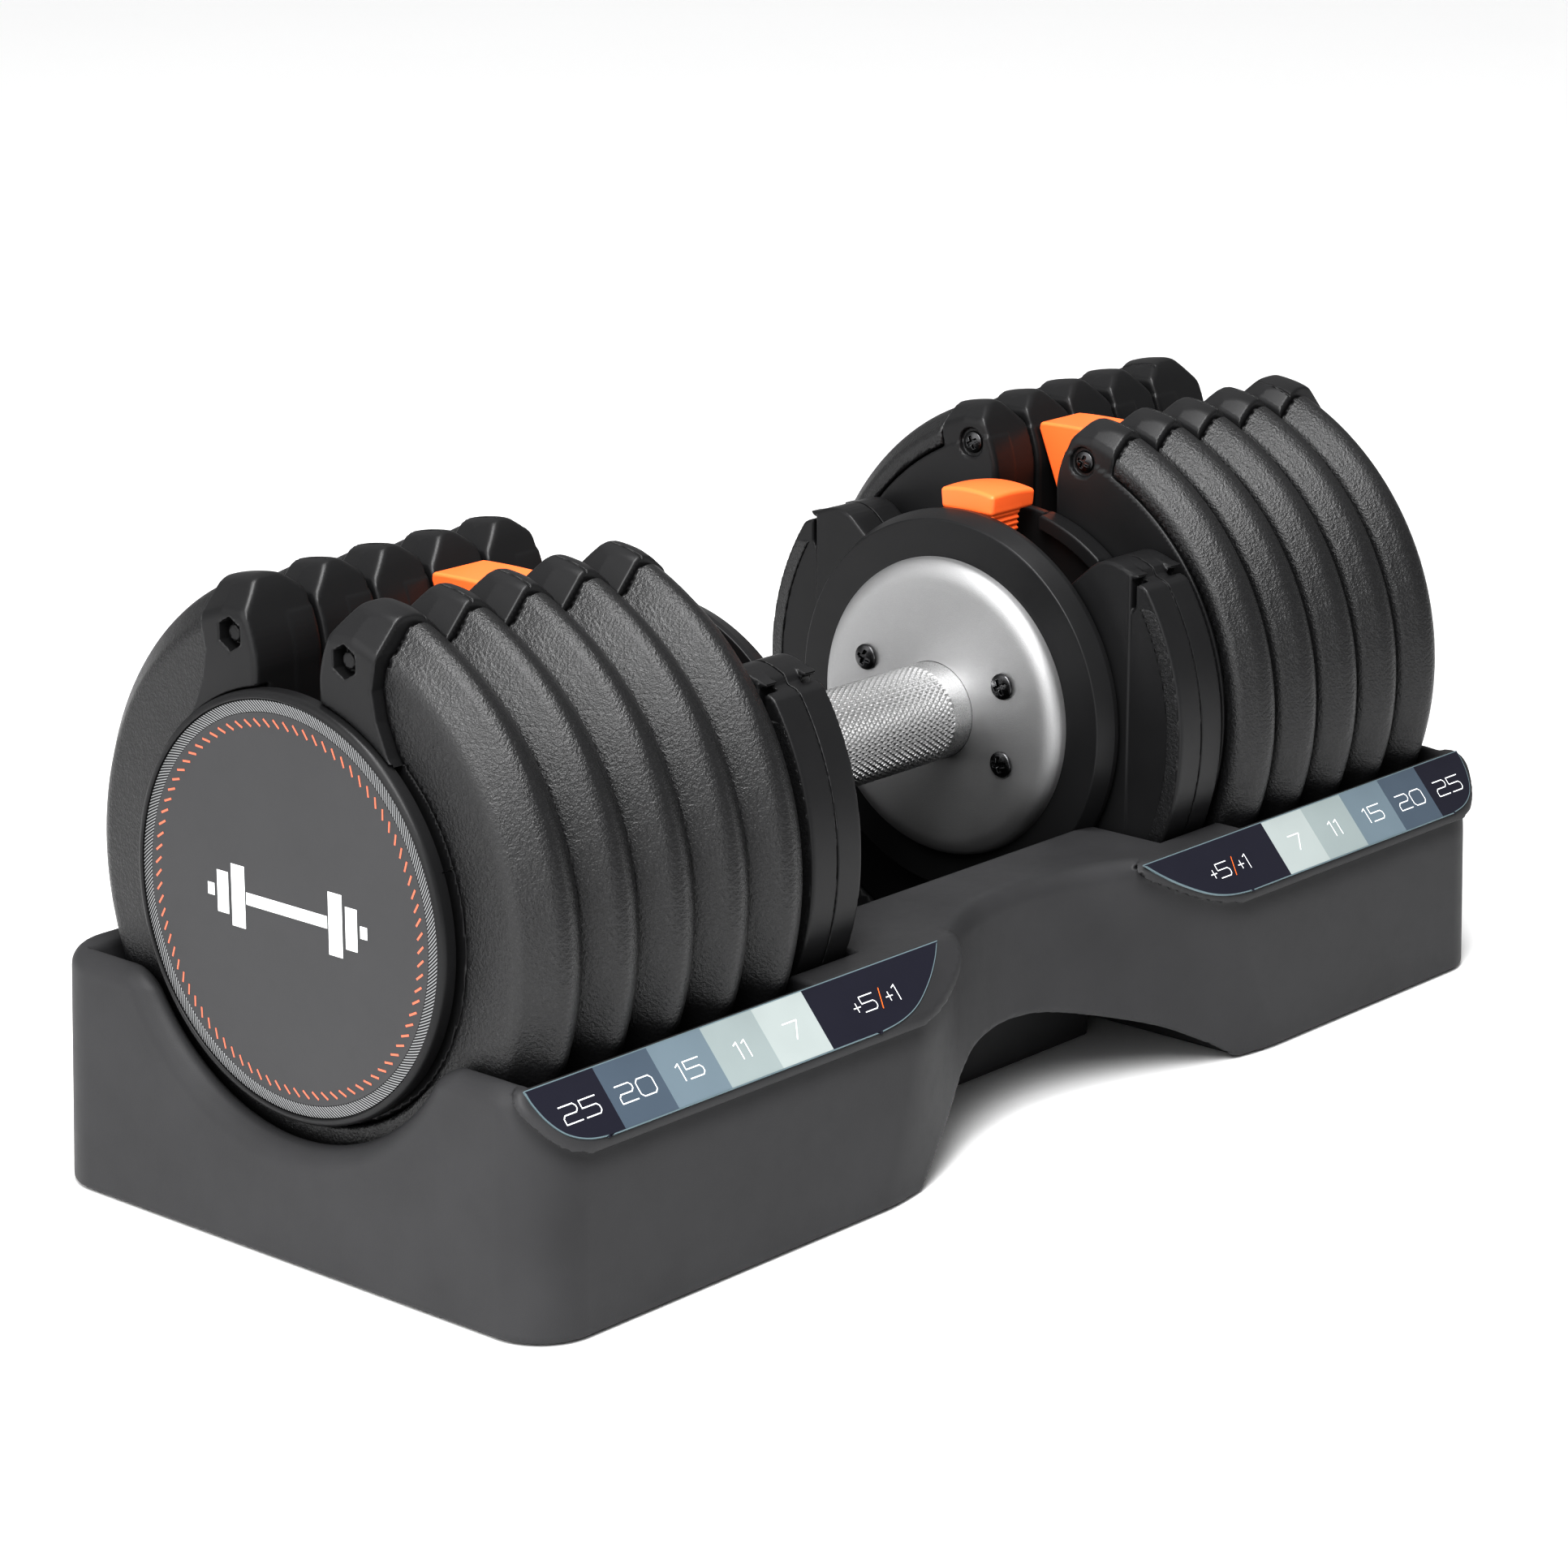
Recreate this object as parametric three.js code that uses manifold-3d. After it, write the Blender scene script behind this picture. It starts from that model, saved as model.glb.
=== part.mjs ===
// Adjustable dumbbell standing in its storage tray.
// Millimetres. X runs along the handle, Y is depth with the scale labels on the -Y side, Z is up.
// The origin is on the floor under the middle of the handle.
import * as THREE from "three";
import { mergeVertices } from "three/addons/utils/BufferGeometryUtils.js";
import Module from "manifold-3d";

const wasm = await Module();
wasm.setup();

// ---- Driving dimensions ----
const GAP = 0.3; // between pieces that touch
const ABOVE = 200; // a height over everything, for cuts that are open at the top
const SEGMENTS = 40; // sides of a full circle
const AXIS_Z = 97.7; // height of the handle's axis

const GRIP_R = 15;
const SPIGOT_R = 10; // the grip tube's turned-down end, held by flange and hub
const BORE_R = 7.3; // the grip tube's bore, which the lock bars retract into
const FLANGE_R = 46;
const FLANGE_X = [55.2, 61];
const FLANGE_ROUND = 4.5; // rounding of the flange's rim
const HUB_R = 57.5;
const HUB_X = [61.3, 66.9];

const RAIL_END = 204.6; // outer end of the neck rail
const RAIL_HALF = 9; // half the rail's width
const RAIL_Z = [84, 112];
const REAR_DISC_X = [93.2, 96.8]; // the disc on the rail behind the add-on plate
const REAR_DISC_R = 57;

const END_CAP_X = [204.9, 208.5]; // covers the outermost plate's slot, and stays with that plate
const TRIM_X = [208.8, 209.4]; // silver trim ring and badge on the end cap
const TRIM_R = [52.7, 56.1];

const PLATE_COUNT = 5; // main plates on each side
const PLATE_PITCH = 21.2;
const PLATE_FIRST_X = 108; // middle of the innermost main plate
const PLATE_HALF = 10.3; // half a main plate's thickness
const PLATE_R = 88.8;
const RIM_ROUND = 5; // how far the rim's rounded shoulders reach in from its edges
const PLATE_SELECTED = 2; // main plates held by each lock bar at rest
const INSERT_R = 59.7; // moulded centre of a main plate
const PANEL_R = 76.8; // its cover panel, let into the iron's inner face
const PANEL_DEPTH = 10.6;
const SLOT_HALF = 11.7; // half the width of the slot that the rail drops into
const SLOT_FLOOR_Z = 81;
const EAR_HALF = 33.2; // half the width over both ears
const EAR_NECK_Z = 165; // above this height no iron stands between or beside the ears
const OUTER_EAR_X = 207; // the outermost plate's ears stand proud to here

const TAB = { inner: 3.6, half: 4, z: [101.3, 106.3] }; // lugs that hang on the lock bar

const ADDON_X = [71, 92.8]; // the add-on plate between hub and rear disc
const ADDON_R = 80.7;
const ADDON_SEAM = 81.9;

const BAR_HALF = 6; // half the lock bar's width
const BAR_HALF_HEIGHT = 3;
const BAR_LENGTH = 108;
const BAR_LEAD = 9.3; // the bar's tip beyond the middle of its knob
const STEM_HALF = 2.6;
const KNOB_X = 131.1; // middle of the main selector knob at rest, at the second plate
const ADDON_KNOB_X = 76.8;
const KNOB_HALF = 10.3; // half of either knob's length along the handle
const YOKE_X = [70.4, 80];
const YOKE_TOP_Z = 118.7;

const TRAY = { x: 213, y: 98, top: 68, base: 0.6, corner: 27, wall: 3.6 };
const TROUGH_CLEAR = 0.4; // between the plates and the tray
const END_CUT_R = 61; // the round cut in each end wall, about the handle's axis
const LABEL_TOP = new THREE.Vector2(-85.6, 68.6); // top edge of the label slope, as y and z
const LABEL_FOOT = new THREE.Vector2(-98.4, 53.8); // bottom edge of the label slope
const LABEL_THICK = 0.8;

// ---- Materials ----
const paint = (color, roughness, metalness) =>
  new THREE.MeshStandardMaterial({ color, roughness, metalness });
const LOOKS = {
  tray: () => paint(0x3b3b3c, 0.55, 0),
  label: () => paint(0x56636d, 0.35, 0),
  rubber: () => paint(0x141414, 0.9, 0),
  iron: () => paint(0x1d1d1e, 0.45, 0.1),
  moulding: () => paint(0x161617, 0.35, 0),
  steel: () => paint(0xb9bbbd, 0.35, 1),
  aluminium: () => paint(0xc4c6c8, 0.4, 1),
  orange: () => paint(0xff7a1e, 0.4, 0),
  badge: () => paint(0x3a3a3b, 0.5, 0),
};

const dumbbell = new THREE.Group();

// ---- Solids ----
function solid(geometry) {
  const plain = geometry.clone();
  plain.deleteAttribute("normal");
  plain.deleteAttribute("uv");
  const merged = mergeVertices(plain, 1e-4);
  return new wasm.Manifold(
    new wasm.Mesh({
      numProp: 3,
      vertProperties: merged.attributes.position.array,
      triVerts: new Uint32Array(merged.index.array),
    }),
  );
}

function geometryOf(body) {
  const mesh = body.getMesh();
  const geometry = new THREE.BufferGeometry();
  geometry.setAttribute("position", new THREE.BufferAttribute(mesh.vertProperties, 3));
  geometry.setIndex(new THREE.BufferAttribute(mesh.triVerts, 1));
  const flat = geometry.toNonIndexed();
  flat.computeVertexNormals();
  return flat;
}

function addPiece(name, body, look) {
  const mesh = new THREE.Mesh(geometryOf(body), LOOKS[look]());
  mesh.name = name;
  dumbbell.add(mesh);
}

const union = (bodies) => bodies.reduce((all, next) => all.add(next));

// A box from its low to its high corner.
function box([x0, x1], [y0, y1], [z0, z1]) {
  const geometry = new THREE.BoxGeometry(x1 - x0, y1 - y0, z1 - z0);
  geometry.translate((x0 + x1) / 2, (y0 + y1) / 2, (z0 + z1) / 2);
  return solid(geometry);
}

// A closed profile of [radius, x] points turned about the handle's axis.
function turned(profile, segments = SEGMENTS) {
  const points = [...profile, profile[0]].map(([r, x]) => new THREE.Vector2(r, x));
  const geometry = new THREE.LatheGeometry(points, segments);
  geometry.rotateZ(-Math.PI / 2);
  geometry.translate(0, 0, AXIS_Z);
  const body = solid(geometry);
  return body.volume() < 0 ? turned([...profile].reverse(), segments) : body;
}

// A disc or ring about the handle's axis.
function disc(outer, [x0, x1], inner = 0, segments = SEGMENTS) {
  const rod = (radius, [low, high]) => {
    const geometry = new THREE.CylinderGeometry(radius, radius, high - low, segments);
    geometry.rotateZ(-Math.PI / 2);
    geometry.translate((low + high) / 2, 0, AXIS_Z);
    return solid(geometry);
  };
  const whole = rod(outer, [x0, x1]);
  return inner ? whole.subtract(rod(inner, [x0 - 1, x1 + 1])) : whole;
}

// A shape drawn in Y and Z, given its thickness along X.
function acrossX(shape, [x0, x1]) {
  const geometry = new THREE.ExtrudeGeometry(shape, {
    depth: x1 - x0,
    bevelEnabled: false,
    curveSegments: 6,
  });
  const turn = new THREE.Matrix4().makeBasis(
    new THREE.Vector3(0, 1, 0),
    new THREE.Vector3(0, 0, 1),
    new THREE.Vector3(1, 0, 0),
  );
  geometry.applyMatrix4(turn);
  geometry.translate(x0, 0, 0);
  return solid(geometry);
}

// A shape drawn in X and Y, standing between two heights.
function upright(shape, [z0, z1]) {
  const geometry = new THREE.ExtrudeGeometry(shape, {
    depth: z1 - z0,
    bevelEnabled: false,
    curveSegments: 6,
  });
  geometry.translate(0, 0, z0);
  return solid(geometry);
}

// The closed outline through a list of [a, b] points.
function outline(points) {
  return new THREE.Shape(points.map(([a, b]) => new THREE.Vector2(a, b)));
}

// Points on one side of the middle, and their mirror images, as one closed outline.
function mirrored(points) {
  const other = points.map(([y, z]) => [-y, z]).reverse();
  return outline([...points, ...other]);
}

// Both ends of the dumbbell hold the same pieces, so each is made once on +X and mirrored.
const SIDES = [
  { tag: "right", place: (body) => body },
  { tag: "left", place: (body) => body.mirror([1, 0, 0]) },
];

function addBothSides(name, body, look) {
  for (const { tag, place } of SIDES) addPiece(`${name}_${tag}`, place(body), look);
}

// ---- Tray ----
// The long sides curve in at the middle, so that a hand reaches round the grip.
const WAIST = [
  [-64, 0],
  [-50, 5],
  [-36, 15],
  [-18, 20.5],
  [0, 22],
  [18, 20.5],
  [36, 15],
  [50, 5],
  [64, 0],
];

function trayOutline(inset) {
  const x = TRAY.x - inset;
  const y = TRAY.y - inset;
  const r = TRAY.corner - inset;
  const shape = new THREE.Shape();
  shape.moveTo(-x + r, -y);
  WAIST.forEach(([along, depth]) => shape.lineTo(along, depth - y));
  shape.lineTo(x - r, -y);
  shape.absarc(x - r, -y + r, r, -Math.PI / 2, 0, false);
  shape.absarc(x - r, y - r, r, 0, Math.PI / 2, false);
  [...WAIST].reverse().forEach(([along, depth]) => shape.lineTo(along, y - depth));
  shape.absarc(-x + r, y - r, r, Math.PI / 2, Math.PI, false);
  shape.absarc(-x + r, -y + r, r, Math.PI, Math.PI * 1.5, false);
  return shape;
}

const MID_X = 70.4; // half the length of the middle trough
const DECK = 16; // depth of the solid band under the tray's top edge, which the labels are cut into
const MAIN_BAY_X = [96.95, RAIL_END + 0.5]; // the bay for the five main plates
const CROSS_WALL_X = [86, 89.5]; // a rib across the hollow underside
const MID_WALL_Y = 49.2; // outside of the middle trough's walls
const MID_TROUGH = [
  [43, 4.6],
  [50.6, TRAY.top + 1],
];

function trayTroughs() {
  const bays = SIDES.map(({ place }) =>
    place(
      union([
        disc(PLATE_R + TROUGH_CLEAR, MAIN_BAY_X),
        disc(ADDON_R + TROUGH_CLEAR, [MID_X - 0.1, MAIN_BAY_X[0] + 0.1]),
        disc(END_CUT_R, [MAIN_BAY_X[1] - 0.1, TRAY.x + 1]),
      ]),
    ),
  );
  return union([acrossX(mirrored(MID_TROUGH), [-MID_X, MID_X]), ...bays]);
}

// The open arch under each long side, steeper on the -X side.
function archCut() {
  const arch = new THREE.SplineCurve(
    [
      [-61, -1],
      [-48, 13],
      [-31, 26.5],
      [-6, 31.6],
      [20, 28.5],
      [56, 16],
      [86, -1],
    ].map(([x, z]) => new THREE.Vector2(x, z)),
  );
  const geometry = new THREE.ExtrudeGeometry(new THREE.Shape(arch.getPoints(14)), {
    depth: 2 * TRAY.y + 4,
    bevelEnabled: false,
  });
  geometry.rotateX(Math.PI / 2);
  geometry.translate(0, TRAY.y + 2, 0);
  const across = solid(geometry);
  return across.subtract(box([-120, 120], [-MID_WALL_Y, MID_WALL_Y], [-2, TRAY.top]));
}

// The hollow underside, which leaves the outer wall, the deck and the walls of the troughs.
function trayUnderside() {
  const inside = upright(trayOutline(TRAY.wall), [-1, TRAY.top - DECK]);
  const bayWalls = SIDES.map(({ place }) =>
    place(
      union([
        disc(PLATE_R + TRAY.wall, [MAIN_BAY_X[0] - 3, MAIN_BAY_X[1] + 3]),
        disc(ADDON_R + TRAY.wall, [MID_X - 3, MAIN_BAY_X[0]]),
        box(CROSS_WALL_X, [-TRAY.y, TRAY.y], [-2, TRAY.top]),
        box([MAIN_BAY_X[1] - 1, TRAY.x], [-70, 70], [-2, TRAY.top]),
      ]),
    ),
  );
  const midWall = box([-MID_X - 2, MID_X + 2], [-MID_WALL_Y, MID_WALL_Y], [-2, TRAY.top]);
  return inside.subtract(union([midWall, ...bayWalls]));
}

function labelSlopeCut(side) {
  const run = LABEL_TOP.clone().sub(LABEL_FOOT).normalize();
  const above = LABEL_TOP.clone().addScaledVector(run, 6);
  const below = LABEL_FOOT.clone().addScaledVector(run, -6);
  const wedge = outline([
    [above.x, above.y],
    [below.x, below.y],
    [-TRAY.y - 20, below.y],
    [-TRAY.y - 20, above.y],
  ]);
  return acrossX(wedge, side > 0 ? [44, TRAY.x + 1] : [-TRAY.x - 1, -44]);
}

const FEET = [
  [-150, -80],
  [150, -80],
  [-150, 80],
  [150, 80],
];
const FOOT_R = 7;
const FOOT_Z = [0, 2.6];

function foot(x, y, radius, z) {
  const geometry = new THREE.CylinderGeometry(radius, radius, z[1] - z[0], 20);
  geometry.rotateX(Math.PI / 2);
  geometry.translate(x, y, (z[0] + z[1]) / 2);
  return solid(geometry);
}

function trayShell() {
  const lugs = union(FEET.map(([x, y]) => foot(x, y, FOOT_R + 3, [TRAY.base, TRAY.top - 30])));
  return upright(trayOutline(0), [TRAY.base, TRAY.top])
    .subtract(trayUnderside())
    .add(lugs)
    .subtract(trayTroughs())
    .subtract(archCut())
    .subtract(labelSlopeCut(1))
    .subtract(labelSlopeCut(-1))
    .subtract(union(FEET.map(([x, y]) => foot(x, y, FOOT_R + GAP, [-1, FOOT_Z[1] + GAP]))));
}

// A label plate, drawn flat with its top edge on v = 0 and tilted on to the slope.
const LABEL_OUTLINE = [
  [47, 0],
  [63, 14],
  [72, 19],
  [82, 20],
  [185, 20],
  [198, 17],
  [204, 11],
  [206.5, 3],
  [205, 0],
];

function labelPlate() {
  const run = LABEL_FOOT.clone().sub(LABEL_TOP).normalize();
  const plate = outline(LABEL_OUTLINE.map(([x, s]) => [x, -s]));
  const geometry = new THREE.ExtrudeGeometry(plate, { depth: LABEL_THICK, bevelEnabled: false });
  const tilt = new THREE.Matrix4().makeBasis(
    new THREE.Vector3(1, 0, 0),
    new THREE.Vector3(0, -run.x, -run.y),
    new THREE.Vector3(0, run.y, -run.x),
  );
  geometry.applyMatrix4(tilt);
  geometry.translate(0, LABEL_TOP.x + run.y * GAP, LABEL_TOP.y - run.x * GAP);
  return solid(geometry);
}

// ---- Handle ----
function grip() {
  return turned([
    [BORE_R, -HUB_X[1]],
    [SPIGOT_R, -HUB_X[1]],
    [SPIGOT_R, -FLANGE_X[0] + GAP],
    [GRIP_R, -FLANGE_X[0] + GAP],
    [GRIP_R, FLANGE_X[0] - GAP],
    [SPIGOT_R, FLANGE_X[0] - GAP],
    [SPIGOT_R, HUB_X[1]],
    [BORE_R, HUB_X[1]],
  ]);
}

function flange() {
  const [front, back] = FLANGE_X;
  return turned([
    [SPIGOT_R + GAP, front],
    [FLANGE_R - FLANGE_ROUND, front],
    [FLANGE_R - 0.3 * FLANGE_ROUND, front + 0.3 * FLANGE_ROUND],
    [FLANGE_R, front + FLANGE_ROUND],
    [FLANGE_R, back],
    [SPIGOT_R + GAP, back],
  ]);
}

const plateX = (index) => PLATE_FIRST_X + PLATE_PITCH * index;

// The rail that drops into the plates' slots: windows open downwards round each plate's lugs,
// and a slot along the top lets the selector's stem slide.
function neckRail() {
  const whole = box([HUB_X[1] + GAP, RAIL_END], [-RAIL_HALF, RAIL_HALF], RAIL_Z);
  const channel = box(
    [0, RAIL_END - 0.1 + GAP],
    [-BAR_HALF - 0.4, BAR_HALF + 0.4],
    [AXIS_Z - BAR_HALF_HEIGHT - 0.4, TAB.z[1] + 0.6],
  );
  const stemSlot = box(
    [99, RAIL_END - 2],
    [-STEM_HALF - 0.5, STEM_HALF + 0.5],
    [AXIS_Z, RAIL_Z[1] + 1],
  );
  const windows = Array.from({ length: PLATE_COUNT }, (_, i) =>
    box(
      [plateX(i) - TAB.half - 1, plateX(i) + TAB.half + 1],
      [-RAIL_HALF - 1, RAIL_HALF + 1],
      [RAIL_Z[0] - 1, TAB.z[1] + 0.6],
    ),
  );
  return whole.subtract(channel).subtract(stemSlot).subtract(union(windows));
}

// The disc behind the add-on plate, with the rail passing through it.
function rearDisc() {
  const passage = box(
    [REAR_DISC_X[0] - 1, REAR_DISC_X[1] + 1],
    [-RAIL_HALF - GAP, RAIL_HALF + GAP],
    [RAIL_Z[0] - GAP, RAIL_Z[1] + GAP],
  );
  return disc(REAR_DISC_R, REAR_DISC_X).subtract(passage);
}

// ---- Plates ----
// The moulded centre's outline: a round body with two ears, and the slot between them.
function insertOutline(clearance) {
  const c = clearance;
  const ear = [
    [EAR_HALF + c, ABOVE],
    [33 + c, 170],
    [31.4 + c, 162],
    [33 + c, 153],
    [37 + c, 144.5],
    [44 + c, 135.5],
    [50.5 + c, 126.5],
  ];
  return mirrored(ear);
}

const slotOutline = () =>
  mirrored([
    [SLOT_HALF, SLOT_FLOOR_Z],
    [SLOT_HALF, 164],
    [18.2, 184],
    [18.2, ABOVE],
  ]);

function insertBody(x, clearance) {
  return disc(INSERT_R + clearance, x)
    .add(acrossX(insertOutline(clearance), x))
    .intersect(disc(PLATE_R + 0.6, x));
}

function lugs(middle) {
  const span = [middle - TAB.half, middle + TAB.half];
  return box(span, [TAB.inner, SLOT_HALF + 1], TAB.z).add(
    box(span, [-SLOT_HALF - 1, -TAB.inner], TAB.z),
  );
}

function plateInsert(index) {
  const middle = plateX(index);
  const span = [middle - PLATE_HALF, middle + PLATE_HALF];
  const panel = disc(PANEL_R, [span[0], span[0] + PANEL_DEPTH]);
  const body = insertBody(span, 0).add(panel);
  if (index < PLATE_COUNT - 1) {
    return body.subtract(acrossX(slotOutline(), [span[0] - 1, span[1] + 1])).add(lugs(middle));
  }
  const proud = insertBody([span[1] - 1, OUTER_EAR_X], 0).subtract(
    disc(HUB_R + 0.7, [span[1], OUTER_EAR_X + 1]),
  );
  return body
    .add(proud)
    .subtract(acrossX(slotOutline(), [span[0] - 1, OUTER_EAR_X + 1]))
    .add(lugs(middle));
}

function plateIron(index) {
  const middle = plateX(index);
  const ring = turned([
    [INSERT_R - 3, middle - PLATE_HALF],
    [PLATE_R - RIM_ROUND, middle - PLATE_HALF],
    [PLATE_R, middle - PLATE_HALF + RIM_ROUND],
    [PLATE_R, middle + PLATE_HALF - RIM_ROUND],
    [PLATE_R - RIM_ROUND, middle + PLATE_HALF],
    [INSERT_R - 3, middle + PLATE_HALF],
  ]);
  const through = [middle - PLATE_HALF - 1, middle + PLATE_HALF + 1];
  const overEars = box(through, [-EAR_HALF - GAP, EAR_HALF + GAP], [EAR_NECK_Z, ABOVE]);
  const rebate = disc(PANEL_R + GAP, [through[0], middle - PLATE_HALF + PANEL_DEPTH + GAP]);
  return ring.subtract(insertBody(through, GAP)).subtract(rebate).subtract(overEars);
}

// ---- Add-on plates ----
const addonSlot = () =>
  mirrored([
    [15, 82],
    [15, 107],
    [37, 118],
    [37, ABOVE],
  ]);

function addonBody(x) {
  const hooks = mirrored([
    [70, 60],
    [64.5, 146],
    [60, 148],
    [46, 153.5],
    [37, 154],
  ]);
  return disc(ADDON_R, x)
    .intersect(acrossX(hooks, x).add(box(x, [-90, 90], [0, 134])))
    .subtract(acrossX(addonSlot(), [x[0] - 1, x[1] + 1]));
}

const WEIGHT_R = [32, 74];
const WEIGHT_X = [ADDON_SEAM - 4.5, ADDON_SEAM + 4.5];

// The cast weight: the lower part of a ring, below the slot's shoulders.
function addonWeight(clearance) {
  const c = clearance;
  const x = [WEIGHT_X[0] - c, WEIGHT_X[1] + c];
  return disc(WEIGHT_R[1] + c, x, WEIGHT_R[0] - c).intersect(box(x, [-90, 90], [0, 100 + c]));
}

function addonShell([x0, x1]) {
  return addonBody([x0, x1]).subtract(addonWeight(GAP));
}

function addonLugs() {
  const span = [84, 90];
  return box(span, [9.6, 16], TAB.z).add(box(span, [-16, -9.6], TAB.z));
}

// ---- Selectors ----
// A cap that fills the V between the ears, on a thin stem.
function mainKnob() {
  const [low, high] = [KNOB_X - KNOB_HALF, KNOB_X + KNOB_HALF];
  const cap = mirrored([
    [9.6, 163],
    [14.3, 174.6],
    [12, 176.2],
  ]);
  const stem = box([KNOB_X - 5, KNOB_X + 5], [-STEM_HALF, STEM_HALF], [
    AXIS_Z + BAR_HALF_HEIGHT + GAP,
    164,
  ]);
  return acrossX(cap, [low, high]).add(stem);
}

function lockBar() {
  const tip = KNOB_X + BAR_LEAD;
  return box(
    [tip - BAR_LENGTH, tip],
    [-BAR_HALF, BAR_HALF],
    [AXIS_Z - BAR_HALF_HEIGHT, AXIS_Z + BAR_HALF_HEIGHT],
  );
}

function addonKnob() {
  const cap = mirrored([
    [7.5, 156],
    [10.3, 157.4],
    [10.3, 161.2],
    [9, 162.4],
  ]);
  const stem = mirrored([
    [7, YOKE_TOP_Z + GAP],
    [8.4, 157],
  ]);
  return acrossX(cap, [ADDON_KNOB_X - KNOB_HALF, ADDON_KNOB_X + KNOB_HALF]).add(
    acrossX(stem, YOKE_X),
  );
}

// A yoke over the rail, with a tongue on each side that slides under the add-on plate's lugs.
function addonYoke() {
  const side = [RAIL_HALF + 0.4, 14];
  const tongue = [AXIS_Z - BAR_HALF_HEIGHT, AXIS_Z + BAR_HALF_HEIGHT];
  const bridge = box(YOKE_X, [-side[1], side[1]], [RAIL_Z[1] + 0.4, YOKE_TOP_Z]);
  const half = box([YOKE_X[0], 74], side, [tongue[0], YOKE_TOP_Z - 1]).add(
    box([YOKE_X[0], 83.4], side, tongue),
  );
  return union([bridge, half, half.mirror([0, 1, 0])]);
}

// ---- Assembly ----
addPiece("tray_shell", trayShell(), "tray");
addBothSides("scale_label", labelPlate(), "label");
FEET.forEach(([x, y]) => {
  const corner = `${y < 0 ? "front" : "back"}_${x < 0 ? "left" : "right"}`;
  addPiece(`tray_foot_${corner}`, foot(x, y, FOOT_R, FOOT_Z), "rubber");
});

addPiece("grip_tube", grip(), "steel");
addBothSides("grip_flange", flange(), "aluminium");
addBothSides("hub_disc", disc(HUB_R, HUB_X, SPIGOT_R + GAP), "moulding");
addBothSides("neck_rail", neckRail(), "moulding");
addBothSides("rear_disc", rearDisc(), "moulding");
addBothSides("end_cap", disc(HUB_R, END_CAP_X), "moulding");
addBothSides("trim_ring", disc(TRIM_R[1], TRIM_X, TRIM_R[0]), "aluminium");
addBothSides("badge_face", disc(TRIM_R[0] - GAP, TRIM_X), "badge");

addBothSides("main_selector_knob", mainKnob(), "orange");
addBothSides("main_lock_bar", lockBar(), "steel");
addBothSides("addon_selector_knob", addonKnob(), "orange");
addBothSides("addon_lock_yoke", addonYoke(), "steel");

for (let index = 0; index < PLATE_COUNT; index++) {
  const state = index < PLATE_SELECTED ? "held" : "parked";
  addBothSides(`plate_${index + 1}_${state}_iron`, plateIron(index), "iron");
  addBothSides(`plate_${index + 1}_${state}_insert`, plateInsert(index), "moulding");
}

addBothSides("addon_inner_shell", addonShell([ADDON_X[0], ADDON_SEAM - GAP / 2]), "moulding");
addBothSides(
  "addon_outer_shell",
  addonShell([ADDON_SEAM + GAP / 2, ADDON_X[1]]).add(addonLugs()),
  "moulding",
);
addBothSides("addon_weight", addonWeight(0), "iron");

export default dumbbell;
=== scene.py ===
"""Looks of the adjustable dumbbell in its storage tray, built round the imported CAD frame.

Shapes are written in millimetres and scaled to metres as they become meshes. X runs along the
handle, Y is depth with the scale labels on the -Y side, Z is up, and the origin is on the floor.
Moulded and cast shapes are distance fields (negative inside) meshed by surface nets; turned
shapes are lathed profiles. The right end (+X) is made once and mirrored for the left end.
"""

import math

import bmesh
import bpy
import numpy as np
from mathutils import Matrix, Vector


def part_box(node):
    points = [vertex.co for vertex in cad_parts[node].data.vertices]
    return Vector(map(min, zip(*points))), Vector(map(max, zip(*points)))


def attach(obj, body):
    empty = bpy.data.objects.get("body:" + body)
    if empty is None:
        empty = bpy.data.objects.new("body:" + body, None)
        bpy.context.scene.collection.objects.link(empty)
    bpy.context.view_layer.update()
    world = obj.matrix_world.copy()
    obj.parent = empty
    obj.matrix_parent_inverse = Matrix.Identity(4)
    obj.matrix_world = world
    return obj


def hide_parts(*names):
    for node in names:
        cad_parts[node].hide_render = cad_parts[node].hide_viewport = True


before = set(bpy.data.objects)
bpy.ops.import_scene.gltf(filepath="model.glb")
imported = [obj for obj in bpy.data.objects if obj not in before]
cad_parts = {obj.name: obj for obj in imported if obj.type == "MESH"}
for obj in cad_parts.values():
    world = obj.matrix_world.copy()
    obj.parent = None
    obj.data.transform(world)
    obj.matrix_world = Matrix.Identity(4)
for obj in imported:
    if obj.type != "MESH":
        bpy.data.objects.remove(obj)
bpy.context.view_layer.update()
MM = 0.001


def cad_mm(node):
    """A CAD node's lowest and highest corners, in millimetres."""
    low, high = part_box(node)
    return np.array(low) / MM, np.array(high) / MM


def cad_middle(node, axis):
    """The middle of a CAD node's box along one axis, in millimetres."""
    low, high = cad_mm(node)
    return float(low[axis] + high[axis]) / 2


def cell_size(full):
    """A grid cell, or a count of cells, for the build."""
    return full


# ---------------------------------------------------------------- sizes
PLATES = [("held", "handle")] * 2 + [("parked", "tray")] * 3  # state and body, from the grip outwards
SIDES = (("right", 1), ("left", -1))
AXIS = cad_middle("grip_tube", 2)  # height of the handle's axis
PLATE_X = [cad_middle(f"plate_{i}_{state}_iron_right", 0) for i, (state, _) in enumerate(PLATES, 1)]
KNOB_X = cad_middle("main_selector_knob_right", 0)
ADDON_KNOB_X = cad_middle("addon_selector_knob_right", 0)
CAP_X = float(cad_mm("end_cap_right")[1][0])  # outer face of the end cap
PLATE_HALF = 10.3  # half a main plate's thickness
PLATE_R = 87.8  # crown of the iron ring
EAR_R = 88.9  # crown of the moulded ears
INSERT_R = 59.7  # edge of the moulded centre against the ring
PANEL_R = 76.8  # thin inner panel of the moulded centre


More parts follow.
